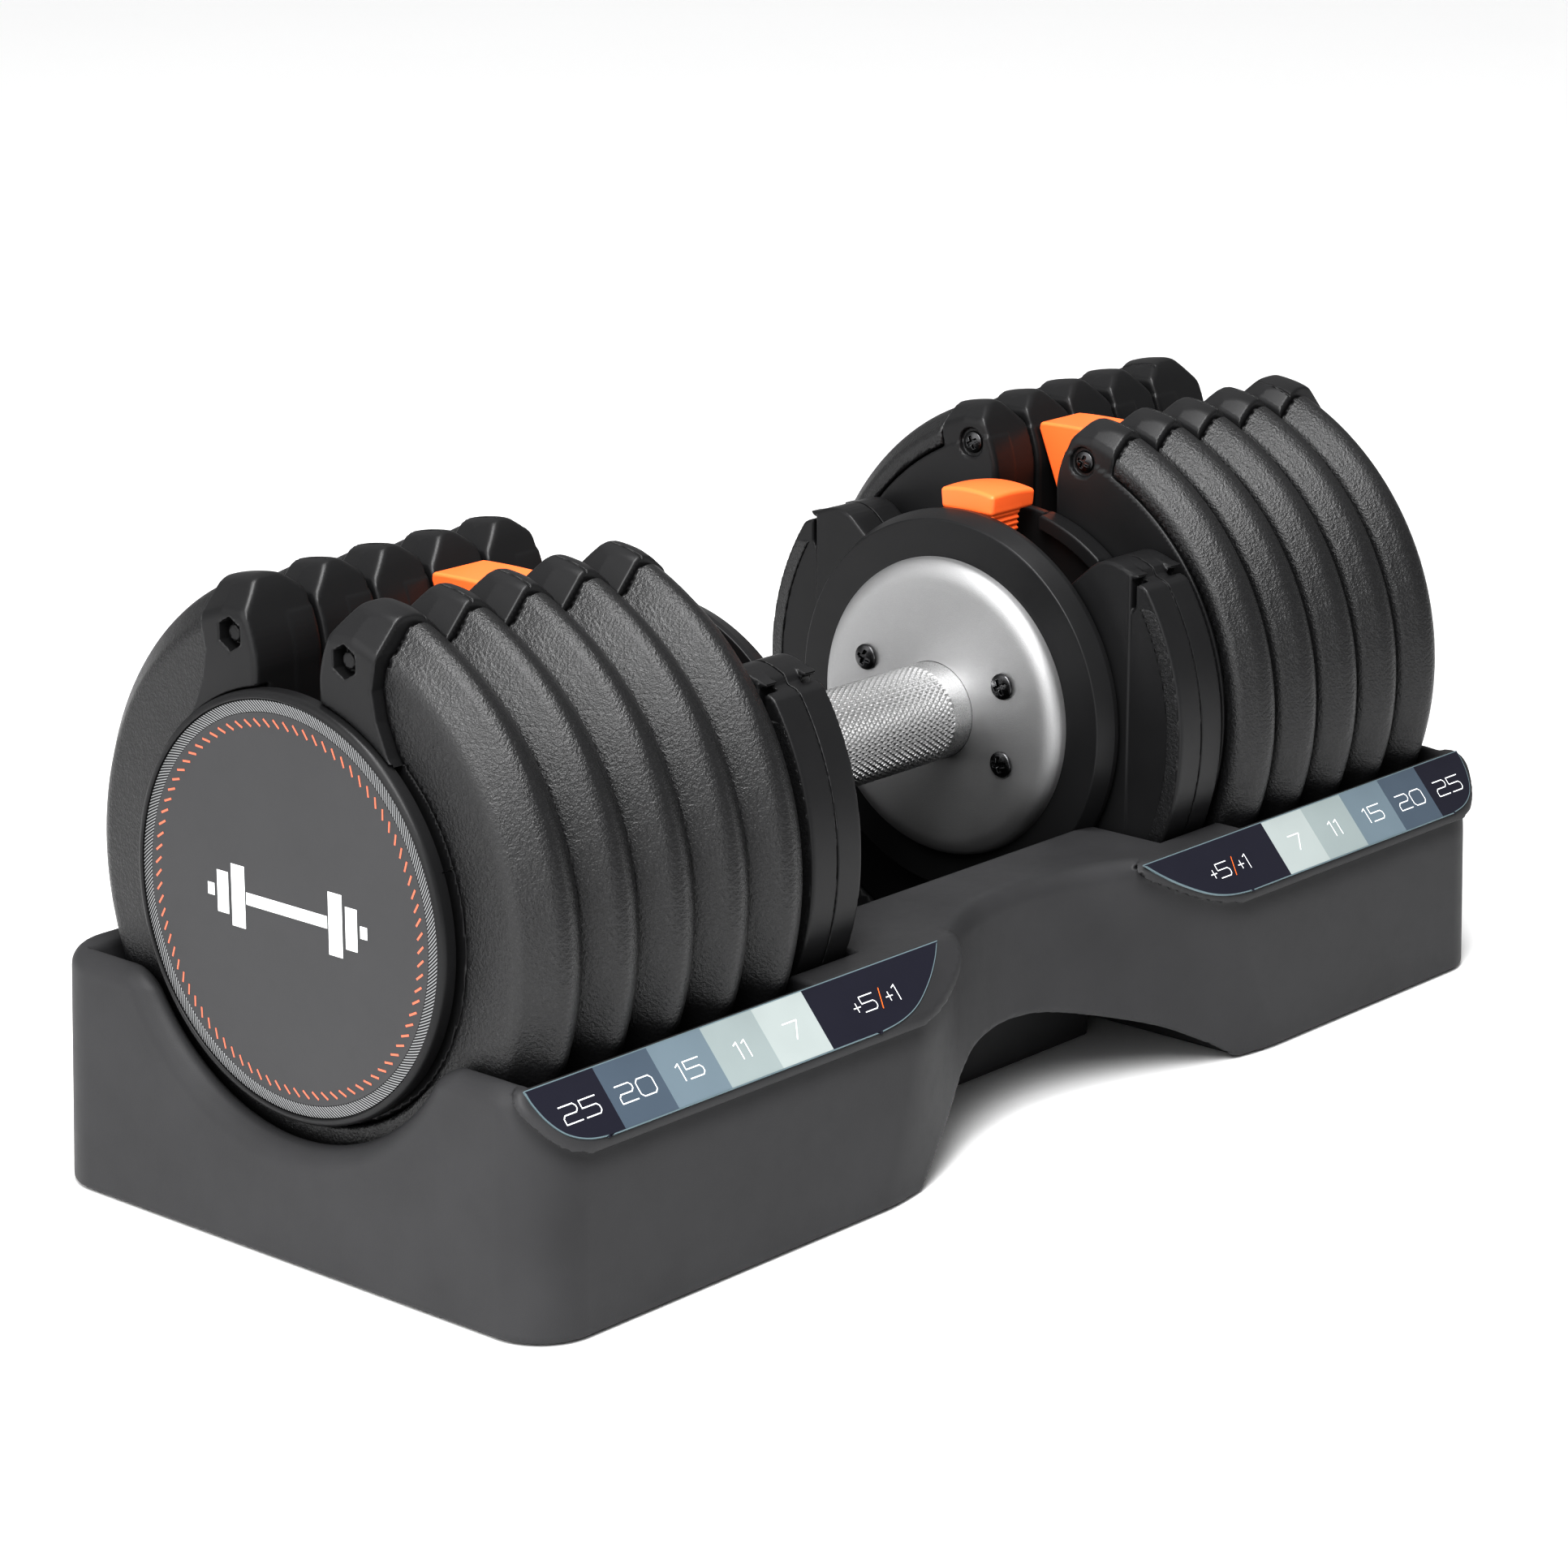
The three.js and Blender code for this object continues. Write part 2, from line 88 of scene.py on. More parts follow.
# ---------------------------------------------------------------- distance fields
def smax(a, b, r):
    """Intersection of two fields, its edge rounded with radius r."""
    return np.minimum(np.maximum(a, b), -r) + np.hypot(np.maximum(r + a, 0), np.maximum(r + b, 0))


def smin(a, b, r):
    """Union of two fields, with a fillet of radius r."""
    return -smax(-a, -b, r)


def cut(a, b, r):
    """Field a less field b, the new edge rounded with radius r."""
    return smax(a, -b, r)


def between(v, low, high):
    """A slab from low to high."""
    return np.abs(v - (low + high) / 2) - (high - low) / 2


def ramp(v, low, high):
    """A smooth step from 0 at low to 1 at high."""
    t = np.clip((v - low) / (high - low), 0, 1)
    return t * t * (3 - 2 * t)


def about_axis(y, z):
    """Distance from the handle's axis."""
    return np.hypot(y, z - AXIS)


def polygon(points, u, v):
    """Distance to a closed outline of (u, v) points."""
    nearest, inside = np.inf, False
    for (a0, b0), (a1, b1) in zip(points, points[1:] + points[:1]):
        du, dv = a1 - a0, b1 - b0
        t = np.clip(((u - a0) * du + (v - b0) * dv) / (du * du + dv * dv), 0, 1)
        nearest = np.minimum(nearest, (u - a0 - du * t) ** 2 + (v - b0 - dv * t) ** 2)
        if b0 != b1:
            inside = inside ^ (((b0 > v) != (b1 > v)) & (u < du * (v - b0) / (b1 - b0) + a0))
    return np.where(inside, -1, 1) * np.sqrt(nearest)


def smooth_path(points, count):
    """A Catmull-Rom curve through the points, with count steps between each two."""
    p = [np.array(q, float) for q in points]
    q, made = [2 * p[0] - p[1], *p, 2 * p[-1] - p[-2]], []
    for a, b, c, d in zip(q, q[1:], q[2:], q[3:]):
        for t in np.arange(count) / count:
            value = 2 * b + (c - a) * t + (2 * a - 5 * b + 4 * c - d) * t**2
            made.append(0.5 * (value + (3 * b - a - 3 * c + d) * t**3))
    return [tuple(v) for v in [*made, p[-1]]]


def steps(*stops):
    """Grid coordinates from (start, cell) stops: each cell size holds up to the next stop."""
    values = [stops[0][0]]
    for (low, cell), (high, _) in zip(stops, stops[1:]):
        count = max(1, round((high - low) / cell))
        values.extend(np.linspace(low, high, count + 1)[1:])
    return np.array(values, float)


def even(low, high, cell):
    return steps((low, cell), (high, cell))


def slope(field, p, h):
    """Value and gradient of a field at points, from four samples at the corners of a tetrahedron."""
    total, gradient = 0, np.zeros_like(p)
    for corner in np.array([(1, -1, -1), (-1, -1, 1), (-1, 1, -1), (1, 1, 1)], float):
        value = field(*(p + h * corner).T)
        total = total + value / 4
        gradient += corner * value[:, None] / (4 * h)
    return total, gradient


def skin(field, xs, ys, zs, polish=3, h=0.12):
    """Surface nets: the field's zero surface as (vertices, quads, normals).

    Each vertex is then moved onto the surface, polish times, with gradients sampled h away.
    """
    axes = (xs, ys, zs)
    f = field(xs[:, None, None], ys[None, :, None], zs[None, None, :])
    f = np.ascontiguousarray(np.broadcast_to(f, tuple(len(a) for a in axes)))
    inside = f < 0
    cells = tuple(len(a) - 1 for a in axes)
    size = cells[0] * cells[1] * cells[2]
    count, where, quads = np.zeros(size), np.zeros((size, 3)), []
    for axis in range(3):
        low = tuple(slice(0, -1) if a == axis else slice(None) for a in range(3))
        high = tuple(slice(1, None) if a == axis else slice(None) for a in range(3))
        at = np.argwhere(inside[low] != inside[high])
        to = at.copy()
        to[:, axis] += 1
        f0, f1 = f[tuple(at.T)], f[tuple(to.T)]
        points = np.stack([axes[a][at[:, a]] for a in range(3)], 1)
        points[:, axis] += (axes[axis][to[:, axis]] - points[:, axis]) * f0 / (f0 - f1)
        b, c = (axis + 1) % 3, (axis + 2) % 3
        around = []
        for db, dc in ((-1, -1), (0, -1), (0, 0), (-1, 0)):
            cell = at.copy()
            cell[:, b] += db
            cell[:, c] += dc
            index = np.ravel_multi_index(tuple(cell.T), cells)
            around.append(index)
            count += np.bincount(index, minlength=size)
            for a in range(3):
                where[:, a] += np.bincount(index, points[:, a], size)
        ring = np.stack(around, 1)
        quads.append(np.where((f0 < 0)[:, None], ring, ring[:, ::-1]))
    used = np.flatnonzero(count)
    number = np.zeros(size, int)
    number[used] = np.arange(len(used))
    p = where[used] / count[used, None]
    longest = max(0.25, 0.6 * min(float(np.min(np.diff(a))) for a in axes))
    for _ in range(polish):
        value, g = slope(field, p, h)
        step = -(value / np.maximum((g**2).sum(1), 1e-6))[:, None] * g
        length = np.linalg.norm(step, axis=1, keepdims=True)
        p = p + step * np.minimum(1, longest / np.maximum(length, 1e-9))
    normals = slope(field, p, h)[1]
    normals /= np.maximum(np.linalg.norm(normals, axis=1, keepdims=True), 1e-9)
    return p, number[np.concatenate(quads)], normals


# ---------------------------------------------------------------- turned shapes
def rounded(points, arc=6):
    """An outline of (a, b) or (a, b, radius) points with its corners rounded."""
    made, n = [], len(points)
    for i, point in enumerate(points):
        p = np.array(point[:2], float)
        r = point[2] if len(point) > 2 else 0
        u = np.array(points[i - 1][:2], float) - p
        v = np.array(points[(i + 1) % n][:2], float) - p
        u, v = u / np.linalg.norm(u), v / np.linalg.norm(v)
        if not r or abs(u @ v) > 0.999:
            made.append(tuple(p))
            continue
        half = math.acos(u @ v) / 2
        centre = p + (u + v) / np.linalg.norm(u + v) * r / math.sin(half)
        start = p + u * r / math.tan(half) - centre
        end = p + v * r / math.tan(half) - centre
        turn = math.atan2(start[0] * end[1] - start[1] * end[0], start @ end)
        for t in np.linspace(0, turn, arc + 1):
            c, s = math.cos(t), math.sin(t)
            turned = np.array([c * start[0] - s * start[1], s * start[0] + c * start[1]])
            made.append(tuple(centre + turned))
    return made


def lathe(profile, segments=220):
    """A closed profile of (radius, x) turned about the handle's axis, as (vertices, quads, None)."""
    profile = np.array(profile, float)
    angle = np.arange(segments) * 2 * math.pi / segments
    r, x = profile[:, :1], profile[:, 1:]
    vertices = np.stack([x + 0 * angle, r * np.cos(angle), AXIS + r * np.sin(angle)], -1).reshape(-1, 3)
    n = len(profile)
    i, j = np.meshgrid(np.arange(n), np.arange(segments), indexing="ij")
    i2, j2 = (i + 1) % n, (j + 1) % segments
    quads = np.stack([i * segments + j, i * segments + j2, i2 * segments + j2, i2 * segments + j], -1)
    quads = quads.reshape(-1, 4)
    after = np.roll(profile, -1, 0)
    area = np.sum(profile[:, 0] * after[:, 1] - profile[:, 1] * after[:, 0])
    return vertices, quads if area > 0 else quads[:, ::-1], None


# ---------------------------------------------------------------- meshes and pieces
SHARP = math.radians(38)  # edges steeper than this stay crisp on meshes with no normals of their own


def mesh_of(name, shape, mirror=False):
    """A Blender mesh, in metres, of a (vertices, quads, normals) shape."""
    vertices, quads, normals = shape
    if mirror:
        vertices = vertices * (-1, 1, 1)
        quads = quads[:, ::-1]
        normals = None if normals is None else normals * (-1, 1, 1)
    mesh = bpy.data.meshes.new(name)
    mesh.vertices.add(len(vertices))
    mesh.vertices.foreach_set("co", (vertices * MM).astype(np.float32).ravel())
    mesh.loops.add(quads.size)
    mesh.loops.foreach_set("vertex_index", quads.astype(np.int32).ravel())
    mesh.polygons.add(len(quads))
    mesh.polygons.foreach_set("loop_start", np.arange(0, quads.size, quads.shape[1], dtype=np.int32))
    mesh.update(calc_edges=True)
    mesh.validate()
    mesh.shade_smooth()
    if normals is None:
        mesh.set_sharp_from_angle(angle=SHARP)
    else:
        mesh.normals_split_custom_set_from_vertices(normals.tolist())
    return mesh


def piece(name, mesh, look, body, replaces=(), at=(0, 0, 0)):
    """One shown object made from a mesh, riding on a body."""
    if not mesh.materials:
        mesh.materials.append(look)
    made = bpy.data.objects.new(name, mesh)
    made.location = Vector(at) * MM
    bpy.context.scene.collection.objects.link(made)
    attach(made, body)
    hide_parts(*replaces)
    return made


def both_ends(name, shape, look, body, replaces=()):
    """The same piece on both ends; body and replaces may hold {} for the side."""
    for side, flip in SIDES:
        own = f"{name}_{side}"
        mesh = mesh_of(own, shape, flip < 0)
        piece(own, mesh, look, body.format(side), [node.format(side) for node in replaces])


# ---------------------------------------------------------------- materials
class Nodes:
    """A short way to write a material's node tree."""

    def __init__(self, name):
        self.material = bpy.data.materials.new(name)
        self.material.use_nodes = True
        self.tree = self.material.node_tree
        self.shader = self.tree.nodes["Principled BSDF"]
        coordinates = self.tree.nodes.new("ShaderNodeTexCoord")
        self.place = coordinates.outputs["Object"]

    def node(self, kind, links=(), **values):
        made = self.tree.nodes.new("ShaderNode" + kind)
        for key, value in values.items():
            setattr(made, key, value)
        for key, value in dict(links).items():
            if isinstance(value, bpy.types.NodeSocket):
                self.tree.links.new(value, made.inputs[key])
            else:
                made.inputs[key].default_value = value
        return made

    def noise(self, scale, detail=2, rough=0.5):
        links = {"Vector": self.place, "Scale": scale, "Detail": detail, "Roughness": rough}
        return self.node("TexNoise", links).outputs["Fac"]

    def math(self, operation, a, b=0.0):
        return self.node("Math", {0: a, 1: b}, operation=operation).outputs[0]

    def spread(self, value, low, high, to_low, to_high):
        links = {"Value": value, "From Min": low, "From Max": high, "To Min": to_low, "To Max": to_high}
        return self.node("MapRange", links).outputs[0]

    def blend(self, factor, a, b):
        made = self.node("Mix", data_type="RGBA")
        for key, value in (("Factor", factor), ("A", a), ("B", b)):
            kind = "VALUE" if key == "Factor" else "RGBA"
            socket = next(s for s in made.inputs if s.name == key and s.type == kind)
            if isinstance(value, bpy.types.NodeSocket):
                self.tree.links.new(value, socket)
            else:
                socket.default_value = value if key == "Factor" else (*value[:3], 1)
        return next(s for s in made.outputs if s.type == "RGBA")

    def bump(self, height, strength, distance, below=None):
        links = {"Height": height, "Strength": strength, "Distance": distance}
        if below:
            links["Normal"] = below
        return self.node("Bump", links).outputs[0]

    def set(self, **sockets):
        for key, value in sockets.items():
            socket = self.shader.inputs[key.replace("_", " ")]
            if isinstance(value, bpy.types.NodeSocket):
                self.tree.links.new(value, socket)
            else:
                socket.default_value = value
        return self.material


def tinted(colour, factor):
    """A colour made lighter or darker, each channel kept to 1."""
    return tuple(min(1, c * factor) for c in colour)


def moulded(name, colour, roughness, grain_scale, grain, variation=0.12, coat=0.0, specular=0.5):
    """Moulded plastic: fine grain, slight mottling in colour and gloss, and faint handling marks."""
    n = Nodes(name)
    mottle = n.noise(28, 3)
    marks = n.noise(190, 5, 0.65)
    light = tuple(c * (1 + variation) for c in colour)
    dark = tuple(c * (1 - variation) for c in colour)
    gloss = n.spread(mottle, 0.3, 0.7, roughness - 0.03, roughness + 0.04)
    gloss = n.math("ADD", gloss, n.spread(marks, 0.45, 0.8, 0, 0.05))
    grained = n.bump(n.noise(grain_scale, 2, 0.6), grain, 0.0004)
    return n.set(
        Base_Color=n.blend(n.spread(mottle, 0.3, 0.7, 0, 1), dark, light),
        Roughness=gloss,
        Normal=n.bump(mottle, 0.05, 0.002, grained),
        Coat_Weight=coat,
        Coat_Roughness=0.3,
        Specular_IOR_Level=specular,
    )


def cast(name, colour, roughness, coarse, strength):
    """Cast iron under a thick textured coating: pebbled, duller in the pits, lighter in colour on the raised
    pebbles.
    """
    n = Nodes(name)
    pebbles = n.noise(coarse, 3, 0.55)
    fine = n.noise(coarse * 2.3, 2, 0.6)
    patches = n.noise(22, 2)
    crest = n.spread(pebbles, 0.5, 0.72, 0, 1)
    height = n.math("ADD", pebbles, n.math("MULTIPLY", fine, 0.5))
    waves = n.bump(n.noise(95, 2), 0.2, 0.0012)
    gloss = n.spread(patches, 0.3, 0.7, roughness - 0.04, roughness + 0.05)
    return n.set(
        Base_Color=n.blend(n.math("MULTIPLY", crest, 0.6), colour, tinted(colour, 1.9)),
        Roughness=n.math("ADD", gloss, n.math("MULTIPLY", crest, -0.06)),
        Normal=n.bump(height, strength, 0.0009, waves),
    )


def metal(name, colour, roughness, grain_scale, grain):
    """Bare metal with a blasted or rolled surface."""
    n = Nodes(name)
    cloud = n.noise(35, 3)
    speck = n.noise(grain_scale, 2, 0.7)
    gloss = n.spread(speck, 0.3, 0.7, roughness - 0.05, roughness + 0.05)
    return n.set(
        Base_Color=n.blend(cloud, tinted(colour, 0.93), tinted(colour, 1.05)),
        Metallic=1.0,
        Roughness=n.math("ADD", gloss, n.spread(cloud, 0.3, 0.7, -0.03, 0.03)),
        Normal=n.bump(speck, grain, 0.0003),
    )


def printed(name, colour, roughness=0.32):
    """A printed film: flat ink with a very faint orange-peel gloss."""
    n = Nodes(name)
    peel = n.noise(420, 2)
    tone = n.noise(60, 2)
    return n.set(
        Base_Color=n.blend(tone, tinted(colour, 0.95), tinted(colour, 1.05)),
        Roughness=n.spread(tone, 0.3, 0.7, roughness - 0.03, roughness + 0.03),
        Normal=n.bump(peel, 0.05, 0.0003),
    )


def linear(code):
    """Linear colour of a six-digit sRGB code."""
    values = [int(code[i : i + 2], 16) / 255 for i in (0, 2, 4)]
    return tuple(v / 12.92 if v < 0.04045 else ((v + 0.055) / 1.055) ** 2.4 for v in values)


TRAY_PLASTIC = moulded("tray_plastic", (0.040, 0.040, 0.0415), 0.5, 2600, 0.10, specular=0.25)
BLACK_PLASTIC = moulded("black_plastic", (0.018, 0.018, 0.0186), 0.33, 3200, 0.07, specular=0.25)
ORANGE_PLASTIC = moulded("orange_plastic", (1.0, 0.19, 0.05), 0.42, 2200, 0.08, 0.03)
CAST_IRON = cast("cast_iron", (0.0145, 0.0145, 0.015), 0.31, 1100, 0.36)
ALUMINIUM = metal("satin_aluminium", (0.41, 0.41, 0.413), 0.56, 3600, 0.22)
GRIP_STEEL = metal("knurled_steel", (0.70, 0.70, 0.70), 0.30, 2600, 0.10)
BAR_STEEL = metal("bar_steel", (0.58, 0.58, 0.59), 0.3, 1800, 0.12)
BLACK_STEEL = metal("blackened_steel", (0.075, 0.075, 0.077), 0.3, 2400, 0.1)
RUBBER = moulded("rubber", (0.012, 0.012, 0.012), 0.78, 1400, 0.3)
BADGE = moulded("badge_plastic", (0.054, 0.054, 0.0555), 0.5, 2800, 0.08, 0.05, specular=0.25)
INK = {
    "navy": printed("ink_navy", linear("1E1E2A")),
    "slate": printed("ink_slate", linear("4A5560")),
    "steel": printed("ink_steel", linear("68757D")),
    "grey": printed("ink_grey", linear("8A9393")),
    "pale": printed("ink_pale", linear("9CA3A2")),
    "edge": printed("ink_edge", linear("66757A")),
    "white": printed("ink_white", linear("F2F4F4")),
    "orange": printed("ink_orange", linear("FF7A33")),
    "tick": printed("ink_tick", linear("CC6A50")),
}

# ---------------------------------------------------------------- tray
TRAY_TOP = 68.4
TRAY_CORNER = 17  # radius of the tray's upright corners
WALL = 3.4
WAIST_X = 12  # middle of the waist at the floor; it leans towards -X as it rises
BAY_R = 89.2  # hollow that the main plates stand in
ADDON_BAY_R = 81.1  # hollow that an add-on plate stands in
LABEL_TOP = np.array([-85.6, 68.9])  # y and z of the top edge of the label slope
LABEL_RUN = np.array([-0.654, -0.756])  # down the slope
LABEL_OUT = np.array([-0.756, 0.654])  # out of the slope
ARCH = [(-61, -3), (-59, 2), (-48, 13), (-37.6, 22.8), (-31, 27), (-22.5, 30.3), (-6, 31.6)]
ARCH += [(13, 29.5), (35.4, 23.3), (56.6, 16.2), (68.5, 10.6), (82, 3.1), (88, -3)]
ARCH = smooth_path(ARCH, 3)  # (x, z) of the opening under each long side


def tray_walls(x, y, z):
    """The drafted outer walls: rounded corners, and a waist on each long side."""
    h = np.clip(z, 0, TRAY_TOP) / TRAY_TOP
    half_x, half_y = 213.8 - 2 * h, 96.4 - 0.8 * h
    over_x, over_y = np.abs(x) - half_x + TRAY_CORNER, np.abs(y) - half_y + TRAY_CORNER
    outside = np.hypot(np.maximum(over_x, 0), np.maximum(over_y, 0))
    walls = outside + np.minimum(np.maximum(over_x, over_y), 0) - TRAY_CORNER
    deep, half_chord = 15.4 + 7.4 * h, 72.4 - 17.7 * h
    radius = (half_chord**2 + deep**2) / (2 * deep)
    waist = np.hypot(x - WAIST_X + 6 * h, np.abs(y) - half_y - radius + deep) - radius
    return cut(walls, waist, 9)


def tray_underside(walls, x, y, z):
    """The air inside the walls, round the floors of the bays, the trough and a rib beside each bay."""
    ax, rho = np.abs(x), about_axis(y, z)
    floors = (
        np.maximum(rho - BAY_R - WALL, between(ax, 94, 212)),
        np.maximum(rho - 84.4, between(ax, 67.5, 100)),
        np.maximum(np.abs(y) - 49.2, ax - 72.4),
        between(ax, 86.4, 89.4),
    )
    under = np.maximum(walls + WALL, z - 50)
    for floor in floors:
        under = np.maximum(under, -floor)
    return under


def tray_field(x, y, z):
    """The tray: walls with a lip over the label slopes, less its underside, hollows and openings."""
    ax, rho = np.abs(x), about_axis(y, z)
    walls = tray_walls(x, y, z)
    slope_at = (y - LABEL_TOP[0]) * LABEL_OUT[0] + (z - LABEL_TOP[1]) * LABEL_OUT[1]
    lip = 2.9 * (1 - ramp(-slope_at, 1.9, 3.7)) - np.exp(-(((slope_at + 4.6) / 2.6) ** 2))
    lip = lip * ramp(ax, 30, 44) * ramp(-y, 60, 75)
    body = smax(walls - lip, z - TRAY_TOP, 5.5)
    body = smax(body, slope_at, 1.1)
    body = smax(body, 0.6 - z, 1.4)
    end_opening = np.maximum(rho - 64, 190 - ax)
    body = cut(body, end_opening, 6.5)
    body = cut(body, np.maximum(polygon(ARCH, x, z), 48 - np.abs(y)), 1.5)
    body = cut(body, tray_underside(walls, x, y, z), 0.8)
    middle = polygon([(43, 4.6), (50.6, 90), (-50.6, 90), (-43, 4.6)], y, z)
    troughs = np.maximum(smax(middle, 4.6 - z, 3), ax - 70.4)
    troughs = np.minimum(troughs, np.maximum(rho - ADDON_BAY_R, between(ax, 69, 98)))
    troughs = np.minimum(troughs, np.maximum(rho - BAY_R, between(ax, 97, 205.1)))
    return cut(body, troughs, 1.7)


cell = cell_size(1.45)
tray_xs = steps((-217, cell / 2), (-203, cell), (203, cell / 2), (217, 1))
piece(
    "tray",
    mesh_of("tray", skin(tray_field, tray_xs, even(-104, 104, cell), even(-2, 72, cell))),
    TRAY_PLASTIC,
    "tray",
    ["tray_shell"],
)

# ---------------------------------------------------------------- main plates
def with_mirror(half):
    """A closed (y, z) outline from its +Y half."""
    return half + [(-y, z) for y, z in reversed(half)]


EARS = [(33.6, 220), (33.3, 171), (31.5, 162), (33, 154), (37, 145), (43, 137), (50, 128)]
EARS = with_mirror([*EARS, (56.5, 117), (50, 90)])
SLOT_TOP = [(11.7, 156), (11.7, 162), (13, 168), (15.6, 174.4), (18.4, 179.6), (21.6, 183.2)]
SLOT_TOP = smooth_path([*SLOT_TOP, (26, 185.4), (34, 187)], 4)
SLOT = with_mirror([(11.7, 81), *SLOT_TOP, (34, 220)])
SCREW_AT = (21.6, 170)  # y and z of the screws, and of the hex nuts 2 mm lower
NUT_HALF = 4.0  # half a nut recess's width across flats


def tread(x, out, face_x=PLATE_HALF):
    """A plate's cross-section: a long slope and a short one, either side of its crown.

    out is the distance outside the crown.
    """
    long_slope = (out - 0.78 * (x + 2.6)) * 0.79
    short_slope = (out + (x - 1.2 - face_x + PLATE_HALF)) * 0.71
    slopes = smax(long_slope, short_slope, 2.6)
    return smax(smax(slopes, out, 2), between(x, -PLATE_HALF, face_x), 1.5)


def iron_field(x, y, z):
    """A plate's iron ring, open where the moulded centre and its ears sit."""
    rho = about_axis(y, z)
    centre = np.minimum(polygon(EARS, y, z), rho - INSERT_R)
    rim = cut(tread(x, rho - PLATE_R), centre - 0.35, 0.9)
    return cut(rim, np.maximum(rho - PANEL_R - 0.3, x - 0.4), 0.8)


def insert_field(seam_x, face_x, nut):
    """A plate's moulded centre.

    seam_x is its parting seam, face_x its ears' outer face, and nut asks for hex recesses there.
    """

    def field(x, y, z):
        rho = about_axis(y, z)
        out = smax(rho - EAR_R, z - 182.8, 3.2)
        crest = tread(x, out, face_x)
        thick = between(x, -PLATE_HALF, face_x)
        sides = polygon(EARS, y, z)
        if face_x > PLATE_HALF:  # the thick ears leave room for the end cap
            cap_room = np.where(z > 118, 58.9, 60) - rho
            sides = np.maximum(sides, np.minimum(cap_room, x - PLATE_HALF + 2))
        sides = np.minimum(sides, np.maximum(rho - INSERT_R, x - PLATE_HALF + 1))
        slot = polygon(SLOT, y, z)
        body = smax(smax(crest, smax(-slot, thick, 1.9), 1.5), sides, 0.7)
        panel = smax(rho - PANEL_R, between(x, -PLATE_HALF, 0), 0.9)
        body = smin(body, cut(panel, slot, 1.3), 0.5)
        body = np.maximum(body, -np.maximum(np.abs(x - seam_x) - 0.26, -(crest + 0.6)))
        from_screw = np.hypot(np.abs(y) - SCREW_AT[0], z - SCREW_AT[1])
        body = cut(body, np.maximum(from_screw - 4.5, x + PLATE_HALF - 1.7), 0.5)
        if nut:
            a, b = np.abs(np.abs(y) - SCREW_AT[0]), z - SCREW_AT[1] + 2
            hexagon = np.maximum(a, np.abs(b) * math.cos(math.pi / 6) + a * 0.5) - NUT_HALF
            body = cut(body, np.maximum(hexagon, face_x - 5.5 - x), 0.35)
            body = np.minimum(body, smax(np.hypot(a, b) - 2.3, between(x, face_x - 6, face_x - 2.2), 0.4))
        return body

    return field


def plate_grid(cell, high_x, seam_x):
    """A moulded centre's grid: fine across its seam, coarse below its ears."""
    xs = steps((-11.6, 1), (seam_x - 0.8, 0.26), (seam_x + 0.8, 1), (high_x, 1))
    return xs, even(-79, 79, cell), steps((18, 2.6), (110, cell), (184, 1))


cell = cell_size(1.6)
iron_shape = skin(iron_field, even(-12, 12, 1.2), even(-92, 92, cell), even(AXIS - 92, AXIS + 92, cell))
insert_shape = skin(insert_field(0, PLATE_HALF, False), *plate_grid(cell_size(1.0), 11.6, 0))
outer_grid = plate_grid(cell_size(0.85), 15.6, -4.5)
outer_insert_shape = skin(insert_field(-4.5, 14.2, True), *outer_grid)


def screw_field(x, y, z):
    """A pan-head screw facing -x, its head's base at x = 0 and centred on y = z = 0."""
    r = np.hypot(y, z)
    dome = np.maximum(np.hypot(x - 6.2, r) - 8.0, x)
    head = smax(dome, r - 4.0, 0.4)
    upright = smax(np.abs(y) - 0.55, np.abs(z) - 2.3, 0.2)
    level = smax(np.abs(z) - 0.55, np.abs(y) - 2.3, 0.2)
    cross = np.minimum(upright, level)
    return cut(head, np.maximum(cross + 0.12 * (x + 0.6), x + 0.6), 0.15)


across = even(-4.8, 4.8, 0.2)
screw_shape = skin(screw_field, even(-3, 0.6, 0.2), across, across, h=0.05)
SCREW_TURNS = (0.35, 1.1, 0.75, 1.4)  # how far each screw's cross is turned


def turn_x(shape, angle, move, scale=1.0):
    """A shape scaled, turned about the X axis and moved."""
    vertices, quads, normals = shape
    vertices = vertices * scale
    c, s = math.cos(angle), math.sin(angle)
    turn = np.array([(1, 0, 0), (0, c, -s), (0, s, c)])
    return vertices @ turn.T + np.array(move), quads, normals @ turn.T


def joined(shapes):
    """Several shapes with normals as one."""
    vertices, quads, normals, count = [], [], [], 0
    for v, q, n in shapes:
        vertices.append(v)
        quads.append(q + count)
        normals.append(n)
        count += len(v)
    return np.concatenate(vertices), np.concatenate(quads), np.concatenate(normals)


plate_screws = joined(
    [
        turn_x(screw_shape, t, (-PLATE_HALF + 1.8, way * SCREW_AT[0], SCREW_AT[1]), 0.86)
        for way, t in zip((-1, 1), SCREW_TURNS)
    ]
)
for side, flip in SIDES:
    iron = mesh_of(f"plate_iron_{side}", iron_shape, flip < 0)
    insert = mesh_of(f"plate_insert_{side}", insert_shape, flip < 0)
    for i, (state, body) in enumerate(PLATES, 1):
        stem = f"plate_{i}_{state}"
        at = (flip * PLATE_X[i - 1], 0, 0)
        piece(f"{stem}_casting_{side}", iron, CAST_IRON, body, [f"{stem}_iron_{side}"], at)
        if i == len(PLATES):
            insert = mesh_of(f"outer_plate_insert_{side}", outer_insert_shape, flip < 0)
        node = f"{stem}_insert_{side}"
        piece(f"{stem}_moulding_{side}", insert, BLACK_PLASTIC, body, [node], at)
        if i == 1:
            screws = mesh_of(f"plate_screws_{side}", plate_screws, flip < 0)
            piece(f"{stem}_screws_{side}", screws, BLACK_STEEL, body, (), at)

# ---------------------------------------------------------------- handle
GRIP_END = 55.2
GRIP_R = 15
KNURL_PITCH = 1.75
KNURL_DEPTH = 0.42


def ridge(v):
    """A triangle wave: 0 in the middle of each unit and 1 at its ends."""
    return np.abs((v % 1) - 0.5) * 2


